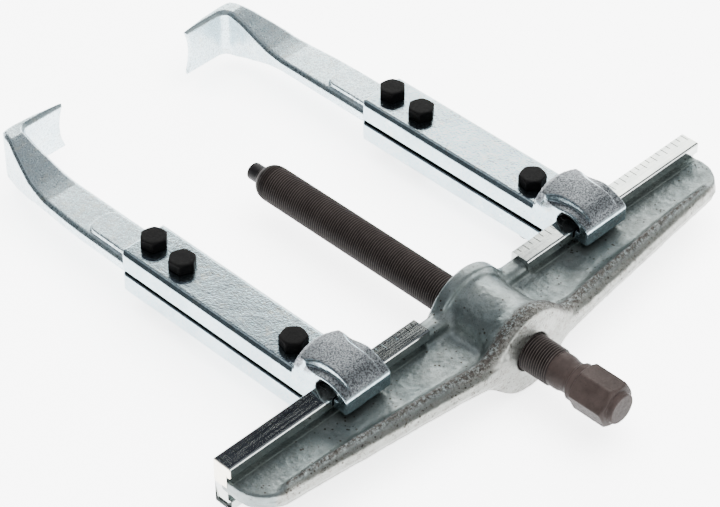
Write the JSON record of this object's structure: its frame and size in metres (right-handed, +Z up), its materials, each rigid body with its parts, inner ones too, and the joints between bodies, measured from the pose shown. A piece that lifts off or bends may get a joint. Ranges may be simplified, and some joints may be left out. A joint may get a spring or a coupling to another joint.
{
  "type": "gear puller",
  "caption": "Sliding-arm puller: a crossbeam with a central screw spindle and two clamped arms with inward hooks that slide along its rail.",
  "frame": {"origin": "centre of the bounding box at its base, with the puller lying flat", "axes": "+X along the crossbeam, +Y from the drive end toward the hooks along the spindle, +Z up"},
  "size_m": [0.4094, 0.438, 0.0624],
  "materials": {
    "forging": "satin zinc-plated forging with a machined rail",
    "bright_zinc": "bright bluish zinc plating with a fine mottle",
    "dark_steel": "dark brown-grey phosphated steel",
    "black_steel": "black oxide, semi-matt"
  },
  "bodies": {
    "crossbeam": {"crossbeam": "forging"},
    "left_arm": {"carrier_left_upper": "bright_zinc", "carrier_left_lower": "bright_zinc", "leg_left": "bright_zinc", "bolt_left_1": "black_steel", "bolt_left_2": "black_steel", "bolt_left_3": "black_steel", "nut_left_1": "black_steel", "nut_left_2": "black_steel", "nut_left_3": "black_steel"},
    "right_arm": {"carrier_right_upper": "bright_zinc", "carrier_right_lower": "bright_zinc", "leg_right": "bright_zinc", "bolt_right_1": "black_steel", "bolt_right_2": "black_steel", "bolt_right_3": "black_steel", "nut_right_1": "black_steel", "nut_right_2": "black_steel", "nut_right_3": "black_steel"},
    "tip": {"pressure_tip": "black_steel"},
    "spindle": {"spindle": "dark_steel"}
  },
  "joints": [
    {"name": "left_slide", "type": "slide", "parent": "crossbeam", "child": "left_arm", "axis": [-1, 0, 0], "range_m": [-0.042, 0.08]},
    {"name": "right_slide", "type": "slide", "parent": "crossbeam", "child": "right_arm", "axis": [1, 0, 0], "range_m": [-0.04, 0.082]},
    {"name": "screw_feed", "type": "slide", "parent": "crossbeam", "child": "tip", "axis": [0, 1, 0], "range_m": [-0.15, 0.018]},
    {"name": "spindle_turn", "type": "hinge", "parent": "tip", "child": "spindle", "pos_m": [0, -0.1056, 0.0312], "axis": [0, 1, 0], "range_deg": [-30856.1, 3701.9]}
  ],
  "couplings": [
    {"joint": "screw_feed", "follows": "spindle_turn", "m_per_rad": 0.00027852}
  ]
}
